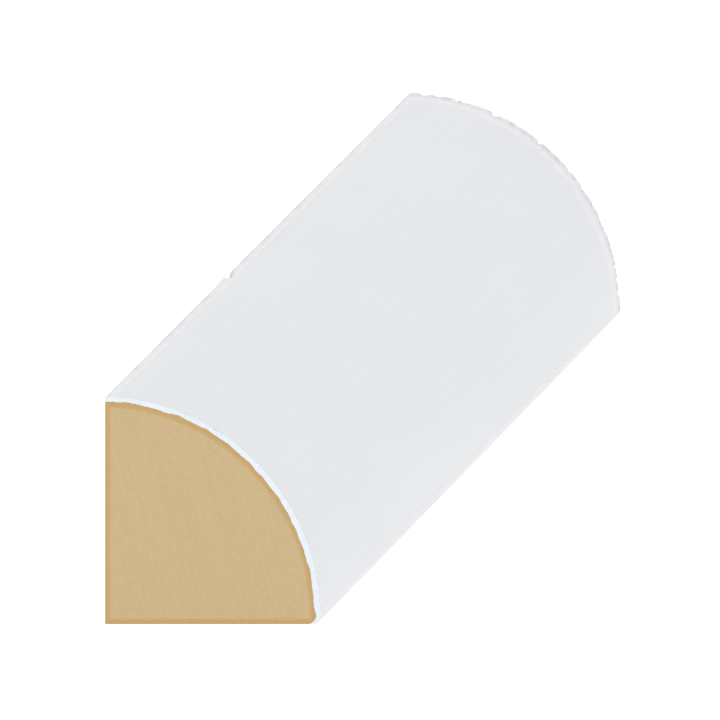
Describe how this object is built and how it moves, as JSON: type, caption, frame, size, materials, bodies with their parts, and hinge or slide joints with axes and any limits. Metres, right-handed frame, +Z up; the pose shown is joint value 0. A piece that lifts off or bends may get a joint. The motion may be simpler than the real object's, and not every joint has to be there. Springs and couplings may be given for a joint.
{
  "type": "quarter round moulding",
  "caption": "Short cut of primed fibreboard quarter round moulding, with a flat base and back that meet at a square heel, and a convex quarter circle face.",
  "frame": {"origin": "middle of the base, on the surface that the moulding lies on", "axes": "+X from the back towards the toe, +Y along the stock, away from the end that the picture shows, +Z up the back"},
  "size_m": [0.018, 0.036, 0.019],
  "materials": {
    "primed_fibreboard": "satin white-grey primer on the curved face, raw tan fibreboard on the sawn ends, base and back"
  },
  "bodies": {
    "root": {"quarter_round_moulding": "primed_fibreboard"}
  },
  "joints": []
}
